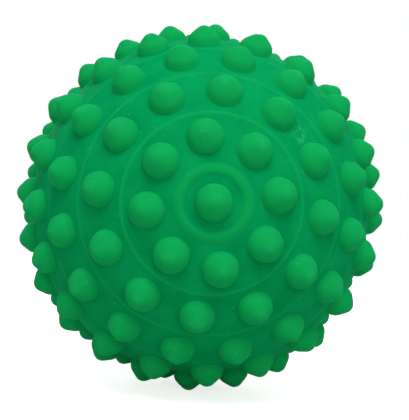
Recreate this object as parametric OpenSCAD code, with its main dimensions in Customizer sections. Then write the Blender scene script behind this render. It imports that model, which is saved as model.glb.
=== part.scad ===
// Sensory ball: a hollow vinyl skin set with rows of soft nubs, and the air valve in its rear pole.
// Lengths are millimetres, angles degrees. The origin is the centre of the ball and +Z is up.
// The mould axis lies along Y: the plain pole faces -Y and the valve pole faces +Y.

/* [Ball] */
// Diameter over the tips of the nubs
ball_d = 100; // [90:1:160]
// Thickness of the skin between the nubs
wall = 2.5; // [2:0.1:4]

/* [Nubs] */
// Height of a nub above the skin
nub_h = 4.4; // [3.5:0.1:6]
// Diameter of a nub where it meets the skin
nub_d = 9.3; // [8.5:0.1:10]
// Height of the cone's point that the round tip takes away
nub_point_h = 0.75; // [0.5:0.05:1]
// Diameter of the shoulder where the blunt cone of a nub turns into its steep foot
nub_shoulder_d = 7.1; // [6.5:0.1:7.5]
// Height of the shoulder above the skin
nub_shoulder_h = 2; // [1.5:0.1:2.4]
// Length of cone and of foot that the bevel on the shoulder takes away
nub_shoulder_bevel = 0.5; // [0.2:0.1:0.8]
// Angle from one row of nubs to the next
row_angle = 15.7; // [14.5:0.1:16]
// Rows of nubs on each half of the ball
row_count = 5; // [3:1:5]
// Nubs in the row beside the parting line
first_row_nubs = 24; // [20:1:25]
// How many nubs fewer each row has than the row before it
row_nubs_step = 4; // [3:1:4]

/* [Mould rings] */
// Width of the fine ring on the skin between two rows
ring_w = 0.7; // [0.4:0.1:1]
// Height of the fine ring
ring_h = 0.15; // [0.1:0.05:0.3]
// Diameter of the crest of the bold ring round each pole
pole_ring_d = 15.6; // [15.2:0.1:16.4]
// Width of the bold ring
pole_ring_w = 2.6; // [1.8:0.1:3]
// Height of the bold ring
pole_ring_h = 0.35; // [0.3:0.05:0.5]
// Depth of the shallow dish inside the bold ring
pole_dish_h = 0.25; // [0.1:0.05:0.3]

/* [Valve bush] */
// Diameter of the flange of the bush
bush_flange_d = 11.4; // [11:0.1:11.8]
// Thickness of that flange
bush_flange_t = 1.2; // [1:0.1:1.5]
// Diameter of the stem of the bush
bush_stem_d = 9; // [8.5:0.1:10]
// Length of the bush over all
bush_l = 12.5; // [10:0.5:20]
// Lead chamfer on the inner end of the stem
bush_lead = 1; // [0.5:0.1:1.5]
// Diameter of the boss of the skin round the stem
boss_d = 14; // [13:0.1:16]
// Thickness of the boss behind the seat of the flange
boss_t = 3; // [2:0.1:5]

/* [Valve stopper] */
// Diameter of the shank of the stopper over its ribs
stopper_d = 4; // [3:0.1:5]
// Length of the shank under the head
stopper_l = 10.5; // [8:0.5:14]
// Diameter of the head
stopper_head_d = 7; // [6.5:0.1:7.5]
// Thickness of the head at its rim
stopper_head_t = 0.8; // [0.6:0.1:1]
// Rise of the domed face of the head
stopper_dome_h = 0.4; // [0.2:0.1:0.6]
// Sealing ribs along the shank
stopper_ribs = 3; // [1:1:4]
// Height of a sealing rib
stopper_rib_h = 0.3; // [0.2:0.05:0.4]
// Length of the taper at the end of the shank
stopper_taper_l = 2; // [1:0.1:2.5]

/* [Fits] */
// Bond line round the bush, on each side
bond_gap = 0.1; // [0.05:0.01:0.2]
// Fit of the shank in the bore of the bush, on each side
stopper_fit = 0.05; // [0.02:0.01:0.1]
// Clearance round the head of the stopper, on each side
head_gap = 0.3; // [0.2:0.05:0.4]

/* [Hidden] */

// Where each row starts, as a share of its own nub spacing, from the parting line to the pole
row_start_shares = [0, 0.27, 0.66, 0.91, 0.24];
// Turn of the valve half against the plain half, as a share of the spacing in its first row
half_turn_share = 0.5;
// Angle at which the round tip of a nub meets its cone
tip_crease = 8;
// End of the stopper's taper, as a share of the shank's radius
stopper_end_share = 0.5;

// Radii about the centre of the ball
tip_r = ball_d / 2;
skin_r = tip_r - nub_h;
hollow_r = skin_r - wall;
pole_r = skin_r - pole_dish_h;
nub_root_r = skin_r - wall / 2;

// Places along the valve axis, measured outwards from the centre of the ball
recess_r = bush_flange_d / 2 + bond_gap;
flange_face = sqrt(pow(pole_r, 2) - pow(recess_r, 2));
flange_seat = flange_face - bush_flange_t;
head_seat = flange_face - stopper_head_t;
head_top = flange_face + stopper_dome_h;
boss_end = flange_seat - boss_t;
bush_end = flange_face - bush_l;
stopper_end = head_seat - stopper_l;
bore_r = stopper_d / 2 + stopper_fit;
head_recess_r = stopper_head_d / 2 + head_gap;
stopper_core_r = stopper_d / 2 - stopper_rib_h;

// Outline of a nub on its own axis: round tip, blunt cone, bevelled shoulder, steep foot, buried root
point = [0, tip_r + nub_point_h];
shoulder = [nub_shoulder_d / 2, skin_r + nub_shoulder_h];
foot = [nub_d / 2, sqrt(pow(skin_r, 2) - pow(nub_d / 2, 2))];
root = foot + (foot - shoulder) * (foot[1] - nub_root_r) / (shoulder[1] - foot[1]);
cone_angle = atan2(point[1] - shoulder[1], shoulder[0]);
cap_angle = cone_angle - tip_crease;
nub_tip_r = nub_point_h / (sin(cap_angle) * tan(cone_angle) - 1 + cos(cap_angle));
tip_base = tip_r - nub_tip_r * (1 - cos(cone_angle));

// Latitude and turn of every nub on one half, the pole nub apart
nub_places = [
    for (row = [0 : row_count - 1])
        for (i = [0 : row_nubs(row) - 1])
            [(row + 1 / 2) * row_angle, (i + row_start_shares[row]) * 360 / row_nubs(row)]
];

function unit(v) = v / norm(v);
function row_nubs(row) = first_row_nubs - row * row_nubs_step;
function crest_r(w, h) = (pow(w / 2, 2) + pow(h, 2)) / (2 * h);

module right_half() {
    intersection() {
        children();
        translate([0, -ball_d]) square([ball_d, 2 * ball_d]);
    }
}

module nub_section() {
    difference() {
        polygon([
            [0, nub_root_r],
            root,
            shoulder + nub_shoulder_bevel * unit(foot - shoulder),
            shoulder + nub_shoulder_bevel * unit(point - shoulder),
            point
        ]);
        difference() {
            translate([0, tip_base]) square([nub_d, nub_h]);
            translate([0, tip_r - nub_tip_r]) circle(r = nub_tip_r);
        }
    }
}

module half_nubs() {
    for (place = nub_places)
        rotate([0, 90 - place[0], place[1]]) rotate_extrude() nub_section();
}

module ring_section(latitude, w, h) {
    rotate(latitude) translate([skin_r + h - crest_r(w, h), 0]) circle(r = crest_r(w, h));
}

// Outline of the moulded ball without its rows of nubs, with the dished and ringed poles
module ball_section() {
    difference() {
        circle(r = skin_r);
        square([pole_ring_d, ball_d], center = true);
    }
    circle(r = pole_r);
    for (row = [1 - row_count : row_count - 1])
        ring_section(row * row_angle, ring_w, ring_h);
    for (pole = [-1, 1])
        ring_section(pole * acos(pole_ring_d / 2 / skin_r), pole_ring_w, pole_ring_h);
    nub_section();
}

// Seat of the bush, drawn with the valve axis upwards
module bush_seat_section() {
    translate([0, flange_seat]) square([recess_r, ball_d]);
    square([bush_stem_d / 2 + bond_gap, ball_d]);
}

module skin_section() {
    right_half()
        difference() {
            union() {
                difference() {
                    ball_section();
                    circle(r = hollow_r);
                }
                translate([0, -flange_seat]) square([boss_d / 2, flange_seat - boss_end]);
            }
            mirror([0, 1]) bush_seat_section();
        }
}

module skin() {
    color("mediumseagreen") {
        rotate([90, 0, 0]) rotate_extrude() skin_section();
        rotate([90, 0, 0]) half_nubs();
        rotate([-90, 0, 0]) rotate(half_turn_share * 360 / first_row_nubs) half_nubs();
    }
}

module valve_bush() {
    color("seagreen") rotate([-90, 0, 0]) rotate_extrude()
        polygon([
            [bore_r, bush_end],
            [bush_stem_d / 2 - bush_lead, bush_end],
            [bush_stem_d / 2, bush_end + bush_lead],
            [bush_stem_d / 2, flange_seat],
            [bush_flange_d / 2, flange_seat],
            [bush_flange_d / 2, flange_face],
            [head_recess_r, flange_face],
            [head_recess_r, head_seat],
            [bore_r, head_seat]
        ]);
}

module stopper_head_section() {
    dome_r = crest_r(stopper_head_d, stopper_dome_h);
    intersection() {
        translate([0, head_top - dome_r]) circle(r = dome_r);
        translate([0, head_seat]) square([stopper_head_d / 2, head_top - head_seat]);
    }
}

module stopper_shank_section() {
    rib_step = (stopper_l - stopper_taper_l) / (stopper_ribs + 1);
    polygon([
        [0, stopper_end],
        [stopper_core_r * stopper_end_share, stopper_end],
        [stopper_core_r, stopper_end + stopper_taper_l],
        [stopper_core_r, head_seat],
        [0, head_seat]
    ]);
    for (i = [1 : stopper_ribs])
        translate([stopper_core_r, head_seat - i * rib_step]) circle(r = stopper_rib_h);
}

module valve_stopper() {
    color("whitesmoke") rotate([-90, 0, 0]) rotate_extrude() {
        stopper_head_section();
        stopper_shank_section();
    }
}

skin();
valve_bush();
valve_stopper();
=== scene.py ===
# Looks of a green sensory ball: its nubbed vinyl skin, its air valve and the stage round them.

import math

import bmesh
import bpy
from bpy.props import FloatProperty, FloatVectorProperty, IntProperty, PointerProperty
from mathutils import Matrix, Vector


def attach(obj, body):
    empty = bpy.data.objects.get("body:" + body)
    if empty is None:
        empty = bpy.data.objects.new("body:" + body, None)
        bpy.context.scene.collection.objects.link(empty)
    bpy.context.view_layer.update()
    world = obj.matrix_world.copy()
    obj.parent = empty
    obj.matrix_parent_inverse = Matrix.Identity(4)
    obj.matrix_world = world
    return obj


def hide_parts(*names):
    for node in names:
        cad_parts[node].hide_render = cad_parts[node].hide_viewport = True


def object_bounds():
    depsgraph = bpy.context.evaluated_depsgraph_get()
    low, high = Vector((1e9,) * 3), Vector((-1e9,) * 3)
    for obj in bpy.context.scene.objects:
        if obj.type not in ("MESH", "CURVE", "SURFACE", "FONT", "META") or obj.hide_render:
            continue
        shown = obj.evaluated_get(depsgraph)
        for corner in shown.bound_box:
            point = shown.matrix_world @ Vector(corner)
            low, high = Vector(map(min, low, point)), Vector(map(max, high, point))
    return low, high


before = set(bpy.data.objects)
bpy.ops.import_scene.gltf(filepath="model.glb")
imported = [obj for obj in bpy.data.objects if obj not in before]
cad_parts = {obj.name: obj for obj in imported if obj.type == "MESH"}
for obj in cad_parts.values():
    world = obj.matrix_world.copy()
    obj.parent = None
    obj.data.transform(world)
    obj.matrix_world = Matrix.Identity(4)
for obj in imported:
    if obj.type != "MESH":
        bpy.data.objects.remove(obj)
CAD_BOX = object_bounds()

bl_info = {
    "name": "Sensory Ball",
    "version": (1, 0, 0),
    "blender": (4, 5, 0),
    "location": "3D View > Sidebar > Ball",
    "description": "Dresses the packed frame of a nubbed ball with its skin, valve finishes and stage",
    "category": "Add Mesh",
}

MM = 0.001

# Mesh steps round the ball, up the side of a cell, over half a bold ring and over the hollow inside
ROUND_STEPS = 240
SIDE_STEPS = 6
BOLD_RING_STEPS = 5
HOLLOW_STEPS = 14
# Rings of points in a nub's cell: over its tip, at a rounded corner, in the nub and in the cell
TIP_RINGS = 3
CORNER_RINGS = 3
NUB_RINGS = TIP_RINGS + 2 * CORNER_RINGS
CELL_RINGS = 12
# A float curve is exact at multiples of this share, so the rings of a nub are read there
CURVE_SHARE = 1 / 16
# Spacing at which the unbent cells of a row are laid out before they are bent onto the ball
CELL_STRIDE = 100
# Points nearer than this become one, and edges that turn more than this stay sharp
WELD = 0.004 * MM
SHARP_TURN = math.radians(42)
# Strip of plain skin between bold ring and rows, and the land and rounding of the valve seat's rim
POLE_STRIP = math.radians(0.15)
RIM_LAND = 0.3 * MM
RIM_R = 0.2 * MM
# From -1 to 1 up a cell, a point past this share is on the low or high edge
EDGE_SHARE = 0.99
# Mesh attribute that marks the foot of each nub in the rows, where shade is painted into the vinyl's
# colour
PAINTED_SHADE_MARK = "crease"

# Place of the first nub of each row, from the parting line to the pole, as a share of its spacing
ROW_START_SHARES = (0.0, 0.27, 0.66, 0.91, 0.24)
# Turn of the rear half against the front half, as a share of the spacing in the first row
REAR_TURN_SHARE = 0.5
# Heights above the skin over which rings get a painted highlight, nubs a painted glow, and tips painted
# sheen and wear
RING_HIGHLIGHT = (0.02 * MM, 0.16 * MM)
NUB_GLOW = (0.4 * MM, 1.9 * MM)
TIP_SHEEN_AND_WEAR = (3.2 * MM, 4.3 * MM)
# Where the vinyl is rubbed, right of the front pole and above it, and how its pale specks thin out:
# partly scuffs, partly painted glints
RUBBED_SPOT = (0.0205, -0.0368, 0.0177)
RUBBED_REACH = (1 * MM, 3.6 * MM)

# Half width of the floor, its gap under the ball, white light, and the camera's sensor and near clip
FLOOR_HALF = 3.0
FLOOR_GAP = 0.02 * MM
WHITE = (1, 1, 1, 1)
SENSOR_HEIGHT = 24
NEAR_CLIP = 0.01

# The photograph in pixels: its frame, the middle of the ball and the lens that fits its perspective
PHOTO_SIZE = (409, 420)
BALL_MIDDLE = (200.6, 206.7)
LENS_PIXELS = 817


def length(name, description, default):
    return FloatProperty(
        name=name, description=description, default=default, unit="LENGTH", precision=5
    )


def angle(name, description, default):
    return FloatProperty(
        name=name, description=description, default=math.radians(default), subtype="ANGLE"
    )


def share(name, description, default):
    return FloatProperty(
        name=name, description=description, default=default, subtype="FACTOR", min=0, max=1
    )


def power(name, description, default):
    return FloatProperty(name=name, description=description, default=default, unit="POWER")


def number(name, description, default):
    return FloatProperty(name=name, description=description, default=default, precision=4)


def count(name, description, default):
    return IntProperty(name=name, description=description, default=default)


def position(name, description, default):
    return FloatVectorProperty(
        name=name, description=description, default=default, subtype="TRANSLATION"
    )


def colour(name, description, default):
    return FloatVectorProperty(
        name=name, description=description, default=default, subtype="COLOR", size=3, min=0, max=1
    )


class BallSkinSizes(bpy.types.PropertyGroup):
    """Sizes of the moulded skin, as in the CAD part but with rounder nubs and rings"""

    ball_d: length("Ball", "Diameter over the tips of opposite nubs", 100 * MM)
    wall: length("Wall", "Thickness of the skin", 2.5 * MM)
    nub_h: length("Nub Height", "How far a nub stands out of the skin", 4.4 * MM)
    nub_d: length("Nub Foot", "Width of a nub where it meets the skin", 8.7 * MM)
    shoulder_d: length("Nub Shoulder", "Width of a nub where its cone meets its flank", 7.6 * MM)
    tip_r: length("Tip Radius", "Rounding of the tip of a nub", 2.5 * MM)
    tip_slope: angle("Tip Slope", "Slope of the cone under the tip", 40)
    shoulder_r: length("Shoulder Radius", "Rounding of the shoulder of a nub", 2.4 * MM)
    foot_r: length("Foot Radius", "Fillet between a nub and the skin", 0.15 * MM)
    row_angle: angle("Row Angle", "Angle between two rows of nubs", 15.7)
    first_row_nubs: count("First Row", "Nubs in the row beside the parting line", 24)
    row_nubs_step: count("Row Step", "How many nubs fewer each further row has", 4)
    ring_w: length("Ring Width", "Half width of a fine mould ring", 0.75 * MM)
    ring_h: length("Ring Height", "Height of a fine mould ring", 0.2 * MM)
    pole_ring_d: length("Pole Ring", "Diameter of the crest of the bold ring round a pole", 15.6 * MM)
    pole_ring_w: length("Pole Ring Width", "Half width of the bold ring", 1.9 * MM)
    pole_ring_h: length("Pole Ring Height", "Height of the bold ring", 0.35 * MM)
    dish_h: length("Dish Depth", "Depth of the shallow dish inside the bold ring", 0.15 * MM)
    seat_d: length("Valve Seat", "Diameter of the recess for the flange of the bush", 11.6 * MM)
    seat_depth: length("Seat Depth", "Depth of that recess", 1.2 * MM)
    stem_d: length("Stem Hole", "Diameter of the hole for the stem of the bush", 9.2 * MM)
    boss_d: length("Boss", "Diameter of the boss behind the valve seat", 14 * MM)
    boss_t: length("Boss Thickness", "Thickness of the boss behind the seat", 3 * MM)


class BallFinish(bpy.types.PropertyGroup):
    """Colours and surface of the ball's materials"""

    vinyl: colour("Vinyl", "Green of the thin skin between the nubs", (0.001, 0.395, 0.116))
    vinyl_deep: colour("Deep Vinyl", "Darker green in the mottling of the skin", (0.0, 0.335, 0.1))
    # Painted glow: a paler green painted in the nubs for light scattered back from the thick vinyl
    nub: colour("Nubs", "Paler green of the thick vinyl in the nubs", (0.006, 0.445, 0.114))
    # Painted shade: a deep green painted round the foot of each nub, where shadow falls in the crease
    crease: colour("Creases", "Deep green in the crease round the foot of a nub", (0.0, 0.2, 0.058))
    # Partly scuffs and wear, partly painted glints and a painted sheen on the nub tips
    scuff_and_glint: colour("Scuffs", "Pale green of rubbed specks in the vinyl", (0.04, 0.58, 0.22))
    nub_mottle: share("Nub Mottling", "How much the mottling darkens the nubs", 0.3)
    nub_sheen: share("Nub Sheen", "How much smoother the nubs are than the skin", 0.2)
    # Depth of the shade painted into the creases
    crease_shade_depth: share("Crease Depth", "How strongly the creases are darkened", 0.65)
    softness: share("Softness", "How much light passes through the vinyl", 0.75)
    soft_reach: length("Soft Reach", "How far light spreads in the vinyl", 2.2 * MM)
    bush: colour("Bush", "Green of the valve bush", (0.003, 0.33, 0.094))
    bush_deep: colour("Deep Bush", "Darker green in the mottling of the bush", (0.0024, 0.264, 0.0752))
    stopper: colour("Stopper", "Natural white of the stopper", (0.8, 0.82, 0.78))
    stopper_warm: colour("Warm Stopper", "Warmer white in its clouding", (0.76, 0.7708, 0.6864))


class BallStage(bpy.types.PropertyGroup):
    """Floor, light and camera"""

    floor: colour("Floor", "Pale colour of the floor", (0.93, 0.93, 0.93))
    floor_bounce: share("Floor Bounce", "How much light the floor throws back up", 0.62)
    shadow: share("Shadow", "How dark the shadow on the floor may be", 0.25)
    fill: number("Fill", "Strength of the even light all round", 0.265)
    above_power: power("Light Above", "Power of the softbox above", 1.32)
    above_width: length("Width Above", "Width of the softbox above", 300 * MM)
    above_height: length("Height Above", "Height of the softbox above", 200 * MM)
    above_place: position("Place Above", "Where the softbox above hangs", (0.0, -0.355, 0.42))
    front_power: power("Light in Front", "Power of the softbox in front", 1.36)
    front_width: length("Width in Front", "Width of the softbox in front", 500 * MM)
    front_height: length("Height in Front", "Height of the softbox in front", 400 * MM)
    front_place: position("Place in Front", "Where the softbox in front stands", (0.03, -0.69, 0.1))
    rear_power: power("Light Behind", "Power of the softbox behind", 2.2)
    rear_width: length("Width Behind", "Width of the softbox behind", 600 * MM)
    rear_height: length("Height Behind", "Height of the softbox behind", 300 * MM)
    rear_place: position("Place Behind", "Where the softbox behind stands", (-0.08, 0.66, 0.22))
    distance: length("Camera Distance", "From the camera to the middle of the ball", 227.3 * MM)
    pole_aside: number("Pole Aside", "How far right the front pole points, of a length of 1", 0.066)
    pole_up: number("Pole Up", "How far up the front pole points, of a length of 1", 0.0195)
    roll: angle("Roll", "Turn of the ball about its front pole in the photograph", 4.5)


class Field:
    """A number worked out by Math nodes, so that a rule of the ball is written as a formula."""

    def __init__(self, tree, socket):
        self.tree = tree
        self.socket = socket

    def math(self, operation, *values, use_clamp=False):
        node = self.tree.nodes.new("ShaderNodeMath")
        node.operation = operation
        node.use_clamp = use_clamp
        for socket, value in zip(node.inputs, values):
            plug(self.tree, socket, value)
        return Field(self.tree, node.outputs[0])

    def __add__(self, other):
        return self.math("ADD", self, other)

    def __sub__(self, other):
        return self.math("SUBTRACT", self, other)

    def __rsub__(self, other):
        return self.math("SUBTRACT", other, self)

    def __mul__(self, other):
        return self.math("MULTIPLY", self, other)

    def __truediv__(self, other):
        return self.math("DIVIDE", self, other)

    def __rtruediv__(self, other):
        return self.math("DIVIDE", other, self)

    __radd__ = __add__
    __rmul__ = __mul__

    def clamped(self):
        return self.math("ADD", self, 0.0, use_clamp=True)

    def rounded(self):
        return self.math("ROUND", self)

    def sin(self):
        return self.math("SINE", self)

    def cos(self):
        return self.math("COSINE", self)

    def root(self):
        return self.math("SQRT", self)

    def above(self, value):
        return self.math("GREATER_THAN", self, value)

    def below(self, value):
        return self.math("LESS_THAN", self, value)


def plug(tree, socket, value):
    """Links a field or a socket into a socket, or writes a plain value there."""
    if isinstance(value, Field):
        value = value.socket
    if isinstance(value, bpy.types.NodeSocket):
        tree.links.new(value, socket)
    else:
        socket.default_value = value


def new_node(tree, kind, values=None, **settings):
    """Adds a node with its settings and its input values, by name or place."""
    node = tree.nodes.new(kind)
    for name, value in settings.items():
        setattr(node, name, value)
    for name, value in (values or {}).items():
        plug(tree, node.inputs[name], value)
    return node


def new_tree(name, inputs):
    """A geometry tree with named inputs and one geometry output, and its two end nodes."""
    tree = bpy.data.node_groups.new(name, "GeometryNodeTree")
    for label, kind in inputs:
        tree.interface.new_socket(name=label, in_out="INPUT", socket_type=kind)
    tree.interface.new_socket(name="Geometry", in_out="OUTPUT", socket_type="NodeSocketGeometry")
    return tree, tree.nodes.new("NodeGroupInput"), tree.nodes.new("NodeGroupOutput")


def set_input(modifier, label, value):
    """Sets a modifier's input by the identifier of the socket with that name."""
    for item in modifier.node_group.interface.items_tree:
        if item.item_type == "SOCKET" and item.in_out == "INPUT" and item.name == label:
            modifier[item.identifier] = value
            return
    raise ValueError(f"no input named {label}")


def curve_node(tree, points, value):
    """A float curve of straight lines through the points."""
    node = new_node(tree, "ShaderNodeFloatCurve", {"Value": value})
    curve = node.mapping.curves[0]
    for place in points[1:-1]:
        curve.points.new(*place)
    for point, place in zip(curve.points, points):
        point.location = place
        point.handle_type = "VECTOR"
    node.mapping.update()
    return Field(tree, node.outputs[0])


def rounded_corner(before, corner, after, radius):
    """Start, middle and end of the arc that rounds a corner of an outline."""
    back = (before - corner).normalized()
    ahead = (after - corner).normalized()
    half = back.angle(ahead) / 2
    reach = radius / math.tan(half)
    middle = corner + (back + ahead).normalized() * (radius / math.sin(half) - radius)
    return [corner + back * reach, middle, corner + ahead * reach]


def on_circle(radius, turn):
    """Point of an outline at an angle from the pole."""
    return Vector((radius * math.sin(turn), radius * math.cos(turn)))


def skin_radius(skin):
    return skin.ball_d / 2 - skin.nub_h


def nub_reach(outline):
    """Angle from the axis of a nub to the end of its foot, seen from the middle of the ball."""
    return max(math.atan2(point.x, point.y) for point in outline)


def nub_outline(skin, seat_r):
    """Outline of a nub on a round seat, as points from its axis and up it, tip first."""
    # Round tip, then a cone down to the shoulder
    tip_middle = skin.ball_d / 2 - skin.tip_r
    points = [
        Vector((0, tip_middle)) + on_circle(skin.tip_r, skin.tip_slope * ring / TIP_RINGS)
        for ring in range(TIP_RINGS + 1)
    ]
    tip_end = points[-1]
    shoulder_out = skin.shoulder_d / 2
    cone_drop = (shoulder_out - tip_end.x) * math.tan(skin.tip_slope)
    shoulder = Vector((shoulder_out, tip_end.y - cone_drop))

    # The flank aims at its foot on the skin, and runs on to the seat where that lies lower
    skin_r = skin_radius(skin)
    skin_foot = on_circle(skin_r, math.asin(skin.nub_d / 2 / skin_r))
    down = (skin_foot - shoulder).normalized()
    along = shoulder.dot(down)
    foot = shoulder + down * (-along - math.sqrt(along ** 2 - shoulder.length_squared + seat_r ** 2))

    # The point past the foot only gives the direction of the seat there
    past_foot = on_circle(seat_r, math.atan2(foot.x, foot.y) + skin.nub_h / skin_r)
    points += rounded_corner(tip_end, shoulder, foot, skin.shoulder_r)
    points += rounded_corner(shoulder, foot, past_foot, skin.foot_r)
    points[-1] = points[-1].normalized() * seat_r
    return points


def row_of_nubs_tree(outline, skin_r):
    """One row of nubs and the skin round them: a flat cell for each nub, bent onto the ball."""
    tree, start, end = new_tree("row_of_nubs", [
        ("Nubs", "NodeSocketInt"),
        ("Low Edge", "NodeSocketFloat"),
        ("Nub Line", "NodeSocketFloat"),
        ("High Edge", "NodeSocketFloat"),
        ("First Nub", "NodeSocketFloat"),
        ("First Edge", "NodeSocketFloat"),
        ("Low Ring", "NodeSocketFloat"),
        ("High Ring", "NodeSocketFloat"),
        ("Skin Radius", "NodeSocketFloat"),
        ("Nub Height", "NodeSocketFloat"),
        ("Nub Reach", "NodeSocketFloat"),
        ("Edge Inset", "NodeSocketFloat"),
    ])
    given = {name: Field(tree, start.outputs[name]) for name in start.outputs.keys() if name}
    steps = (ROUND_STEPS / given["Nubs"]).rounded()
    turns = 2 * (steps + SIDE_STEPS)

    cell = new_node(tree, "GeometryNodeMeshGrid", {
        "Size X": turns, "Vertices X": turns + 1,
        "Size Y": float(CELL_RINGS), "Vertices Y": CELL_RINGS + 1,
    })
    line = new_node(tree, "GeometryNodeMeshLine", {
        "Count": given["Nubs"], "Offset": (CELL_STRIDE, 0, 0),
    })
    copies = new_node(tree, "GeometryNodeInstanceOnPoints", {
        "Points": line.outputs["Mesh"], "Instance": cell.outputs["Mesh"],
    })
    cells = new_node(tree, "GeometryNodeRealizeInstances", {"Geometry": copies.outputs["Instances"]})

    # Which nub, which step round it and which ring a point belongs to
    place = new_node(tree, "ShaderNodeSeparateXYZ", {
        "Vector": tree.nodes.new("GeometryNodeInputPosition").outputs["Position"],
    })
    flat_x = Field(tree, place.outputs["X"])
    nub = (flat_x / CELL_STRIDE).rounded()
    step = (flat_x - nub * CELL_STRIDE + turns / 2).rounded()
    ring = (Field(tree, place.outputs["Y"]) + CELL_RINGS / 2).rounded()

    # Round the edge of the cell, from -1 to 1 each way
    right = ((step - steps) / SIDE_STEPS).clamped()
    left = ((step - 2 * steps - SIDE_STEPS) / SIDE_STEPS).clamped()
    low = (step / steps).clamped()
    high = ((step - steps - SIDE_STEPS) / steps).clamped()
    across = 2 * (low - high) - 1
    up = 2 * (right - left) - 1

    # Edge of the cell on the ball, drawn in a little for every ring but the last
    inset = given["Edge Inset"] * (CELL_RINGS - ring).clamped()
    spacing = math.tau / given["Nubs"]
    nub_turn = given["First Nub"] + nub * spacing
    line_cos = given["Nub Line"].cos()
    line_sin = given["Nub Line"].sin()
    half_width = spacing / 2 - inset / line_cos
    aside = given["First Edge"] + (nub + 0.5) * spacing + across * half_width - nub_turn
    edge_up = (given["Low Edge"] + given["High Edge"]) / 2
    edge_up = edge_up + up * ((given["High Edge"] - given["Low Edge"]) / 2 - inset)
    edge = (edge_up.cos() * aside.cos(), edge_up.cos() * aside.sin(), edge_up.sin())

    # The ring of the nub on the way to that point of the edge
    east = aside * line_cos
    north = edge_up - given["Nub Line"]
    reach = (east * east + north * north).root()
    along = ring * CURVE_SHARE
    last = nub_reach(outline)
    height = outline[0].length - skin_r
    out_points = [(i * CURVE_SHARE, math.atan2(p.x, p.y) / last) for i, p in enumerate(outline)]
    rise_points = [(i * CURVE_SHARE, (p.length - skin_r) / height) for i, p in enumerate(outline)]
    out = given["Nub Reach"] * curve_node(tree, out_points + [(1, 1)], along)
    rise = given["Nub Height"] * curve_node(tree, rise_points + [(1, 0)], along)
    out_north = out.sin() * north / reach
    nub_ring = (
        out.cos() * line_cos - out_north * line_sin,
        out.sin() * east / reach,
        out.cos() * line_sin + out_north * line_cos,
    )

    # Past the foot of the nub the rings open out from circles to the edge of the cell
    opened = ((ring - NUB_RINGS) / (CELL_RINGS - 1 - NUB_RINGS)).clamped()
    way = [a + opened * (b - a) for a, b in zip(nub_ring, edge)]
    on_edge = ring.above(CELL_RINGS - 0.5)
    low_ridge = given["Low Ring"] * up.below(-EDGE_SHARE)
    high_ridge = given["High Ring"] * up.above(EDGE_SHARE)
    ridge = on_edge * (low_ridge + high_ridge)
    radius = given["Skin Radius"] + rise + ridge
    scale = radius / (way[0] * way[0] + way[1] * way[1] + way[2] * way[2]).root()
    bent = new_node(tree, "ShaderNodeCombineXYZ", {
        "X": scale * (way[0] * nub_turn.cos() - way[1] * nub_turn.sin()),
        "Y": scale * (way[0] * nub_turn.sin() + way[1] * nub_turn.cos()),
        "Z": scale * way[2],
    })
    moved = new_node(tree, "GeometryNodeSetPosition", {
        "Geometry": cells.outputs["Geometry"], "Position": bent.outputs["Vector"],
    })
    # The rings round the foot of each nub, marked for the shade painted there
    crease_shaded = ring.above(NUB_RINGS - CORNER_RINGS + 0.5) * ring.below(NUB_RINGS + 0.5)
    marked = new_node(tree, "GeometryNodeStoreNamedAttribute", {
        "Geometry": moved.outputs["Geometry"], "Name": PAINTED_SHADE_MARK, "Value": crease_shaded,
    }, data_type="FLOAT", domain="POINT")
    plug(tree, end.inputs["Geometry"], marked.outputs["Geometry"])
    return tree


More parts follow.
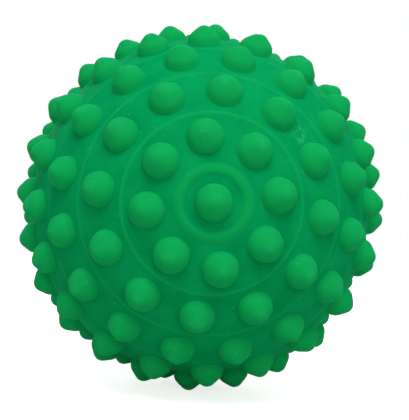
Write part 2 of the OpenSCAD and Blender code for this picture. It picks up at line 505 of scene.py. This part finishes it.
def nubbed_skin_tree(skin, outline, cap_edge):
    """Rows of nubs on both halves of the ball, welded to the turned poles that come in."""
    row_tree = row_of_nubs_tree(outline, skin_radius(skin))
    tree, start, end = new_tree("nubbed_skin", [
        ("Poles", "NodeSocketGeometry"),
        ("Skin Radius", "NodeSocketFloat"),
        ("Nub Height", "NodeSocketFloat"),
        ("Nub Reach", "NodeSocketFloat"),
        ("Ring Height", "NodeSocketFloat"),
        ("Ring Inset", "NodeSocketFloat"),
        ("Rear Turn", "NodeSocketFloat"),
        ("Weld Distance", "NodeSocketFloat"),
        ("Vinyl", "NodeSocketMaterial"),
    ])
    half = tree.nodes.new("GeometryNodeJoinGeometry")
    grid = math.tau / ROUND_STEPS
    for row, start_share in enumerate(ROW_START_SHARES):
        nubs = skin.first_row_nubs - skin.row_nubs_step * row
        spacing = math.tau / nubs
        first_nub = start_share * spacing
        last_row = row == len(ROW_START_SHARES) - 1
        row_node = new_node(tree, "GeometryNodeGroup", node_tree=row_tree)
        values = {
            "Nubs": nubs,
            "Low Edge": row * skin.row_angle,
            "Nub Line": (row + 0.5) * skin.row_angle,
            "High Edge": math.pi / 2 - cap_edge if last_row else (row + 1) * skin.row_angle,
            "First Nub": first_nub,
            "First Edge": round((first_nub - spacing / 2) / grid) * grid,
            "Low Ring": start.outputs["Ring Height"],
            "High Ring": 0.0 if last_row else start.outputs["Ring Height"],
            "Skin Radius": start.outputs["Skin Radius"],
            "Nub Height": start.outputs["Nub Height"],
            "Nub Reach": start.outputs["Nub Reach"],
            "Edge Inset": start.outputs["Ring Inset"],
        }
        for name, value in values.items():
            plug(tree, row_node.inputs[name], value)
        tree.links.new(row_node.outputs["Geometry"], half.inputs["Geometry"])

    front = new_node(tree, "GeometryNodeTransform", {
        "Geometry": half.outputs["Geometry"], "Rotation": (math.pi / 2, 0, 0),
    })
    rear_turn = new_node(tree, "ShaderNodeCombineXYZ", {"Z": start.outputs["Rear Turn"]})
    turned = new_node(tree, "GeometryNodeTransform", {
        "Geometry": half.outputs["Geometry"], "Rotation": rear_turn.outputs["Vector"],
    })
    rear = new_node(tree, "GeometryNodeTransform", {
        "Geometry": turned.outputs["Geometry"], "Rotation": (-math.pi / 2, 0, 0),
    })
    whole = tree.nodes.new("GeometryNodeJoinGeometry")
    for part in (start.outputs["Poles"], front.outputs["Geometry"], rear.outputs["Geometry"]):
        tree.links.new(part, whole.inputs["Geometry"])
    welded = new_node(tree, "GeometryNodeMergeByDistance", {
        "Geometry": whole.outputs["Geometry"], "Distance": start.outputs["Weld Distance"],
    })
    plain = new_node(tree, "GeometryNodeRealizeInstances", {"Geometry": welded.outputs["Geometry"]})
    dressed = new_node(tree, "GeometryNodeSetMaterial", {
        "Geometry": plain.outputs["Geometry"], "Material": start.outputs["Vinyl"],
    })
    plug(tree, end.inputs["Geometry"], dressed.outputs["Geometry"])
    return tree


def turned_mesh(name, outlines):
    """Mesh of outlines turned about their pole, each placed by its matrix."""
    mesh = bpy.data.meshes.new(name)
    bm = bmesh.new()
    turns = [math.tau * i / ROUND_STEPS for i in range(ROUND_STEPS)]
    for points, matrix in outlines:
        rings = []
        for point in points:
            if point.x < WELD:
                spots = [Vector((0, 0, point.y))]
            else:
                spots = [Vector((point.x * math.cos(t), point.x * math.sin(t), point.y)) for t in turns]
            rings.append([bm.verts.new(matrix @ spot) for spot in spots])
        for a, b in zip(rings, rings[1:]):
            for i in range(ROUND_STEPS):
                j = (i + 1) % ROUND_STEPS
                corners = [a[i % len(a)], a[j % len(a)], b[j % len(b)], b[i % len(b)]]
                bm.faces.new(list(dict.fromkeys(corners)))
    bm.to_mesh(mesh)
    bm.free()
    return mesh


def pole_ring_points(skin, cap_edge, inner_turn):
    """Outline over the bold ring of a pole, from the edge of the rows in to the dish."""
    skin_r = skin_radius(skin)
    crest = math.asin(skin.pole_ring_d / 2 / skin_r)
    out_width = skin.pole_ring_w / skin_r
    in_width = min(out_width, crest - inner_turn)
    points = [on_circle(skin_r, cap_edge)]
    for step in range(BOLD_RING_STEPS, -BOLD_RING_STEPS - 1, -1):
        off = step / BOLD_RING_STEPS
        swell = (1 + math.cos(math.pi * off)) / 2
        dish = skin.dish_h * (1 - swell) if off < 0 else 0.0
        turn = crest + off * (out_width if off > 0 else in_width)
        points.append(on_circle(skin_r + skin.pole_ring_h * swell - dish, turn))
    return points


def front_pole_points(skin, cap_edge):
    """Outline of the front pole: bold ring, dish and the nub in the middle."""
    nub = nub_outline(skin, skin_radius(skin) - skin.dish_h)
    foot_turn = math.atan2(nub[-1].x, nub[-1].y)
    return pole_ring_points(skin, cap_edge, foot_turn) + nub[::-1]


def rear_pole_points(skin, cap_edge):
    """Outline of the rear pole: bold ring, valve seat, stem hole, boss and the inside of the ball."""
    dish_r = skin_radius(skin) - skin.dish_h
    hollow_r = skin_radius(skin) - skin.wall
    seat_out = skin.seat_d / 2
    stem_out = skin.stem_d / 2
    boss_out = skin.boss_d / 2
    rim = on_circle(dish_r, math.asin(seat_out / dish_r))
    floor = rim.y - skin.seat_depth
    boss_end = floor - skin.boss_t
    seat_corner = Vector((seat_out, floor))
    outer = pole_ring_points(skin, cap_edge, math.asin((seat_out + RIM_LAND) / dish_r))
    hollow_turn = math.asin(boss_out / hollow_r)
    hollow_step = (math.pi - hollow_turn) / HOLLOW_STEPS
    return (
        outer
        + rounded_corner(outer[-1], rim, seat_corner, RIM_R)
        + [seat_corner, Vector((stem_out, floor))]
        + [Vector((stem_out, boss_end)), Vector((boss_out, boss_end))]
        + [on_circle(hollow_r, hollow_turn + hollow_step * i) for i in range(HOLLOW_STEPS + 1)]
    )


def material_tree(name):
    """A new material, its node tree and its shader."""
    material = bpy.data.materials.new(name)
    material.use_nodes = True
    tree = material.node_tree
    return material, tree, tree.nodes["Principled BSDF"]


def object_coords(tree):
    return tree.nodes.new("ShaderNodeTexCoord").outputs["Object"]


def noise(tree, coords, scale, detail=2.0):
    node = new_node(tree, "ShaderNodeTexNoise", {"Vector": coords, "Scale": scale, "Detail": detail})
    return Field(tree, node.outputs["Fac"])


def blend_colour(tree, factor, first, second):
    """Mixes two colours, each a plain value or a socket, by a factor."""
    node = new_node(tree, "ShaderNodeMix", data_type="RGBA")
    plug(tree, node.inputs[0], factor)
    for socket, value in ((node.inputs[6], first), (node.inputs[7], second)):
        plug(tree, socket, value if isinstance(value, bpy.types.NodeSocket) else (*value, 1))
    return node.outputs[2]


def spread(tree, value, between, gives=(0.0, 1.0)):
    """Maps the values between two limits onto another range, and holds its ends past them."""
    node = new_node(tree, "ShaderNodeMapRange", {
        "Value": value,
        "From Min": between[0], "From Max": between[1],
        "To Min": gives[0], "To Max": gives[1],
    }, clamp=True)
    return Field(tree, node.outputs["Result"])


def bump(tree, height, distance, strength, under=None):
    """Surface normal of a height pattern, over another bump where one is given."""
    node = new_node(tree, "ShaderNodeBump", {
        "Height": height, "Distance": distance, "Strength": strength,
    })
    if under is not None:
        tree.links.new(under, node.inputs["Normal"])
    return node.outputs["Normal"]


def scuff_and_glint_mask(tree, coords, height):
    """Pale marks, partly scuffs and wear and partly painted glints and sheen: specks all over, more
    where the ball was rubbed, and on the tips.
    """
    fine = noise(tree, coords, scale=900, detail=1.0)
    glint_speck = spread(tree, fine, between=(0.74, 0.8), gives=(0, 0.6))
    apart = new_node(tree, "ShaderNodeVectorMath", {0: coords, 1: RUBBED_SPOT}, operation="DISTANCE")
    near = spread(tree, apart.outputs["Value"], between=RUBBED_REACH, gives=(1, 0))
    rubbed_glints = spread(tree, noise(tree, coords, scale=750), between=(0.48, 0.62), gives=(0, 0.65))
    broad = noise(tree, coords, scale=330, detail=3.0)
    sheen_and_wear = spread(tree, broad, between=(0.5, 0.66), gives=(0, 0.2))
    on_tip = spread(tree, height, between=TIP_SHEEN_AND_WEAR)
    return (glint_speck + rubbed_glints * near + sheen_and_wear * on_tip).clamped()


def vinyl_material(finish, skin_r):
    """Soft moulded vinyl: dull and faintly mottled, with a painted glow in the nubs, a painted
    highlight on the rings and painted shade in the creases.
    """
    material, tree, shader = material_tree("nubbed_vinyl")
    coords = object_coords(tree)
    from_middle = new_node(tree, "ShaderNodeVectorMath", {0: coords}, operation="LENGTH")
    height = Field(tree, from_middle.outputs["Value"]) - skin_r
    mottle = spread(tree, noise(tree, coords, scale=150, detail=3.0), between=(0.35, 0.7))
    grain = noise(tree, coords, scale=1600)

    # Colour with a painted highlight on the rings and a painted glow in the nubs, then painted shade in
    # the creases, then scuffs and painted glints
    ring_highlight = spread(tree, height, between=RING_HIGHLIGHT, gives=(0, 0.55))
    in_nub = spread(tree, height, between=NUB_GLOW, gives=(0, 0.42))
    painted_paleness = ring_highlight + in_nub - mottle * in_nub * finish.nub_mottle
    thin = blend_colour(tree, mottle, finish.vinyl, finish.vinyl_deep)
    pale_painted = blend_colour(tree, painted_paleness, thin, finish.nub)
    # Painted shade: the colour is darkened in the crease round the foot of each nub
    mark = new_node(tree, "ShaderNodeAttribute", attribute_name=PAINTED_SHADE_MARK)
    in_crease_shade = Field(tree, mark.outputs["Fac"]) * finish.crease_shade_depth
    crease_shaded = blend_colour(tree, in_crease_shade, pale_painted, finish.crease)
    # Pale specks, partly scuffs and wear and partly painted glints and sheen
    scuffed_and_glinting = blend_colour(tree, scuff_and_glint_mask(tree, coords, height), crease_shaded, finish.scuff_and_glint)
    plug(tree, shader.inputs["Base Color"], scuffed_and_glinting)

    # Dull surface with fine grain on a slightly uneven skin
    rough = spread(tree, grain + mottle * 0.5, between=(0.3, 1.1), gives=(0.74, 0.88))
    plug(tree, shader.inputs["Roughness"], rough - in_nub * finish.nub_sheen)
    uneven = bump(tree, noise(tree, coords, scale=110), distance=0.35 * MM, strength=0.35)
    grained = bump(tree, grain, distance=0.06 * MM, strength=0.35, under=uneven)
    plug(tree, shader.inputs["Normal"], grained)
    shader.inputs["Specular IOR Level"].default_value = 0.02
    shader.inputs["Subsurface Weight"].default_value = finish.softness
    shader.inputs["Subsurface Radius"].default_value = (0.2, 1.0, 0.4)
    shader.inputs["Subsurface Scale"].default_value = finish.soft_reach
    return material


def bush_material(finish):
    """Firmer vinyl of the valve bush, a shade deeper than the skin."""
    material, tree, shader = material_tree("valve_vinyl")
    coords = object_coords(tree)
    mottle = noise(tree, coords, scale=420, detail=3.0)
    plug(tree, shader.inputs["Base Color"], blend_colour(tree, mottle, finish.bush, finish.bush_deep))
    rough = spread(tree, mottle, between=(0.3, 0.7), gives=(0.52, 0.66))
    plug(tree, shader.inputs["Roughness"], rough)
    grained = bump(tree, noise(tree, coords, scale=2200), distance=0.04 * MM, strength=0.3)
    plug(tree, shader.inputs["Normal"], grained)
    shader.inputs["Specular IOR Level"].default_value = 0.05
    return material


def stopper_material(finish):
    """Waxy natural plastic of the stopper."""
    material, tree, shader = material_tree("waxy_plastic")
    coords = object_coords(tree)
    cloud = noise(tree, coords, scale=500, detail=3.0)
    clouded = blend_colour(tree, cloud, finish.stopper, finish.stopper_warm)
    plug(tree, shader.inputs["Base Color"], clouded)
    rough = spread(tree, cloud, between=(0.3, 0.7), gives=(0.34, 0.46))
    plug(tree, shader.inputs["Roughness"], rough)
    grained = bump(tree, noise(tree, coords, scale=3000), distance=0.03 * MM, strength=0.25)
    plug(tree, shader.inputs["Normal"], grained)
    shader.inputs["Subsurface Weight"].default_value = 0.25
    shader.inputs["Subsurface Radius"].default_value = (1.0, 0.95, 0.8)
    shader.inputs["Subsurface Scale"].default_value = 1.0 * MM
    return material


class BALL_OT_skin(bpy.types.Operator):
    """Make the vinyl skin: turned poles, rows of nubs and mould rings in one welded mesh"""

    bl_idname = "sensory_ball.skin"
    bl_label = "Nubbed Skin"

    def execute(self, context):
        skin = context.scene.ball_skin
        skin_r = skin_radius(skin)
        cap_edge = math.asin((skin.pole_ring_d / 2 + skin.pole_ring_w) / skin_r) + POLE_STRIP
        vinyl = vinyl_material(context.scene.ball_finish, skin_r)
        poles = turned_mesh("vinyl_skin", [
            (front_pole_points(skin, cap_edge), Matrix.Rotation(math.pi / 2, 4, "X")),
            (rear_pole_points(skin, cap_edge), Matrix.Rotation(-math.pi / 2, 4, "X")),
        ])
        piece = bpy.data.objects.new("vinyl_skin", poles)
        context.scene.collection.objects.link(piece)
        self.grow_rows(context, piece, skin, cap_edge, vinyl)
        self.smooth(piece.data)
        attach(piece, "ball")
        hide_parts("skin")
        return {"FINISHED"}

    def grow_rows(self, context, piece, skin, cap_edge, vinyl):
        """Adds the rows of nubs to the turned poles and keeps the result as a plain mesh."""
        skin_r = skin_radius(skin)
        outline = nub_outline(skin, skin_r)
        modifier = piece.modifiers.new("nubbed_skin", "NODES")
        modifier.node_group = nubbed_skin_tree(skin, outline, cap_edge)
        values = {
            "Skin Radius": skin_r,
            "Nub Height": skin.nub_h,
            "Nub Reach": nub_reach(outline),
            "Ring Height": skin.ring_h,
            "Ring Inset": skin.ring_w / skin_r,
            "Rear Turn": REAR_TURN_SHARE * math.tau / skin.first_row_nubs,
            "Weld Distance": WELD,
            "Vinyl": vinyl,
        }
        for label, value in values.items():
            set_input(modifier, label, value)
        made = bpy.data.meshes.new_from_object(piece.evaluated_get(context.evaluated_depsgraph_get()))
        piece.modifiers.clear()
        piece.data = made
        made.materials.clear()
        made.materials.append(vinyl)

    def smooth(self, mesh):
        """Turns the faces outwards and shades them smooth, except over edges that turn sharply."""
        bm = bmesh.new()
        bm.from_mesh(mesh)
        bmesh.ops.recalc_face_normals(bm, faces=bm.faces)
        for face in bm.faces:
            face.smooth = True
        bm.to_mesh(mesh)
        bm.free()
        mesh.set_sharp_from_angle(angle=SHARP_TURN)


class BALL_OT_valve(bpy.types.Operator):
    """Give the valve bush and its stopper their finishes"""

    bl_idname = "sensory_ball.valve"
    bl_label = "Valve Finishes"

    def execute(self, context):
        finish = context.scene.ball_finish
        finishes = {"valve_bush": bush_material(finish), "valve_stopper": stopper_material(finish)}
        for node, material in finishes.items():
            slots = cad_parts[node].data.materials
            slots.clear()
            slots.append(material)
        return {"FINISHED"}


def seen_white(tree):
    """1 for rays that show a background: straight from the camera, or by way of gloss or glass."""
    path = tree.nodes.new("ShaderNodeLightPath")
    seen = Field(tree, path.outputs["Is Camera Ray"]) + Field(tree, path.outputs["Is Glossy Ray"])
    return (seen + Field(tree, path.outputs["Is Transmission Ray"])).clamped()


def softbox(scene, stage, side):
    """An even rectangular light on one side, facing the middle of the ball."""
    name = f"softbox_{side}"
    lamp = bpy.data.lights.new(name, "AREA")
    lamp.shape = "RECTANGLE"
    lamp.size = getattr(stage, f"{side}_width")
    lamp.size_y = getattr(stage, f"{side}_height")
    lamp.energy = getattr(stage, f"{side}_power")
    holder = bpy.data.objects.new(name, lamp)
    holder.location = getattr(stage, f"{side}_place")
    holder.rotation_euler = (-holder.location).to_track_quat("-Z", "Y").to_euler()
    scene.collection.objects.link(holder)


class BALL_OT_stage(bpy.types.Operator):
    """Set the pale floor, the soft light and the camera of the photograph"""

    bl_idname = "sensory_ball.stage"
    bl_label = "Stage"

    def execute(self, context):
        scene = context.scene
        stage = scene.ball_stage
        scene.view_settings.view_transform = "Standard"
        self.lay_floor(scene, stage)
        self.light(scene, stage)
        self.place_camera(scene, stage)
        return {"FINISHED"}

    def lay_floor(self, scene, stage):
        low = CAD_BOX[0][2] - FLOOR_GAP
        corners = [Vector((x, y, 0)) * FLOOR_HALF for x, y in ((-1, -1), (1, -1), (1, 1), (-1, 1))]
        mesh = bpy.data.meshes.new("floor")
        mesh.from_pydata([corner + Vector((0, 0, low)) for corner in corners], [], [(0, 1, 2, 3)])
        floor = bpy.data.objects.new("floor", mesh)
        scene.collection.objects.link(floor)
        material, tree, shader = material_tree("pale_floor")
        seen = seen_white(tree)
        bounce = [stage.floor_bounce * c for c in stage.floor]
        plug(tree, shader.inputs["Base Color"], blend_colour(tree, seen, bounce, stage.floor))
        shader.inputs["Roughness"].default_value = 0.9
        shader.inputs["Specular IOR Level"].default_value = 0.0
        glow = new_node(tree, "ShaderNodeEmission", {
            "Color": WHITE, "Strength": seen * (1 - stage.shadow),
        })
        both = new_node(tree, "ShaderNodeAddShader", {
            0: shader.outputs["BSDF"], 1: glow.outputs["Emission"],
        })
        tree.links.new(both.outputs["Shader"], tree.nodes["Material Output"].inputs["Surface"])
        mesh.materials.append(material)

    def light(self, scene, stage):
        world = bpy.data.worlds.new("studio")
        world.use_nodes = True
        tree = world.node_tree
        tree.nodes.clear()
        even = new_node(tree, "ShaderNodeBackground", {"Color": WHITE, "Strength": stage.fill})
        white = new_node(tree, "ShaderNodeBackground", {"Color": WHITE, "Strength": 1.0})
        mix = new_node(tree, "ShaderNodeMixShader", {
            0: seen_white(tree), 1: even.outputs["Background"], 2: white.outputs["Background"],
        })
        end = tree.nodes.new("ShaderNodeOutputWorld")
        tree.links.new(mix.outputs["Shader"], end.inputs["Surface"])
        scene.world = world
        for side in ("above", "front", "rear"):
            softbox(scene, stage, side)

    def place_camera(self, scene, stage):
        pole = Vector((stage.pole_aside, stage.pole_up, 0))
        pole.z = math.sqrt(1 - pole.length_squared)
        level = Vector((0, 1, 0)).cross(pole).normalized()
        upright = pole.cross(level)
        ball_x = math.cos(stage.roll) * level - math.sin(stage.roll) * upright
        ball_z = math.sin(stage.roll) * level + math.cos(stage.roll) * upright
        turn = Matrix((ball_x, -pole, ball_z))
        camera = bpy.data.cameras.new("photo_camera")
        camera.sensor_fit = "VERTICAL"
        camera.sensor_height = SENSOR_HEIGHT
        camera.lens = LENS_PIXELS / PHOTO_SIZE[1] * SENSOR_HEIGHT
        camera.shift_x = (PHOTO_SIZE[0] / 2 - BALL_MIDDLE[0]) / PHOTO_SIZE[1]
        camera.shift_y = (BALL_MIDDLE[1] - PHOTO_SIZE[1] / 2) / PHOTO_SIZE[1]
        camera.clip_start = NEAR_CLIP
        holder = bpy.data.objects.new("photo_camera", camera)
        holder.matrix_world = Matrix.Translation(turn.col[2] * stage.distance) @ turn.to_4x4()
        scene.collection.objects.link(holder)
        scene.camera = holder


class BALL_PT_panel(bpy.types.Panel):
    """Lists the steps that build the ball"""

    bl_label = "Sensory Ball"
    bl_idname = "BALL_PT_panel"
    bl_space_type = "VIEW_3D"
    bl_region_type = "UI"
    bl_category = "Ball"

    def draw(self, context):
        for operator in OPERATORS:
            self.layout.operator(operator.bl_idname)
        for group in (context.scene.ball_skin, context.scene.ball_finish, context.scene.ball_stage):
            box = self.layout.box()
            for name in group.bl_rna.properties.keys():
                if name not in ("rna_type", "name"):
                    box.prop(group, name)


OPERATORS = (BALL_OT_skin, BALL_OT_valve, BALL_OT_stage)
CLASSES = (BallSkinSizes, BallFinish, BallStage, *OPERATORS, BALL_PT_panel)


def register():
    for item in CLASSES:
        bpy.utils.register_class(item)
    bpy.types.Scene.ball_skin = PointerProperty(type=BallSkinSizes)
    bpy.types.Scene.ball_finish = PointerProperty(type=BallFinish)
    bpy.types.Scene.ball_stage = PointerProperty(type=BallStage)


def unregister():
    del bpy.types.Scene.ball_stage
    del bpy.types.Scene.ball_finish
    del bpy.types.Scene.ball_skin
    for item in reversed(CLASSES):
        bpy.utils.unregister_class(item)


def main():
    register()
    bpy.ops.sensory_ball.skin()
    bpy.ops.sensory_ball.valve()
    bpy.ops.sensory_ball.stage()


if __name__ == "__main__":
    main()
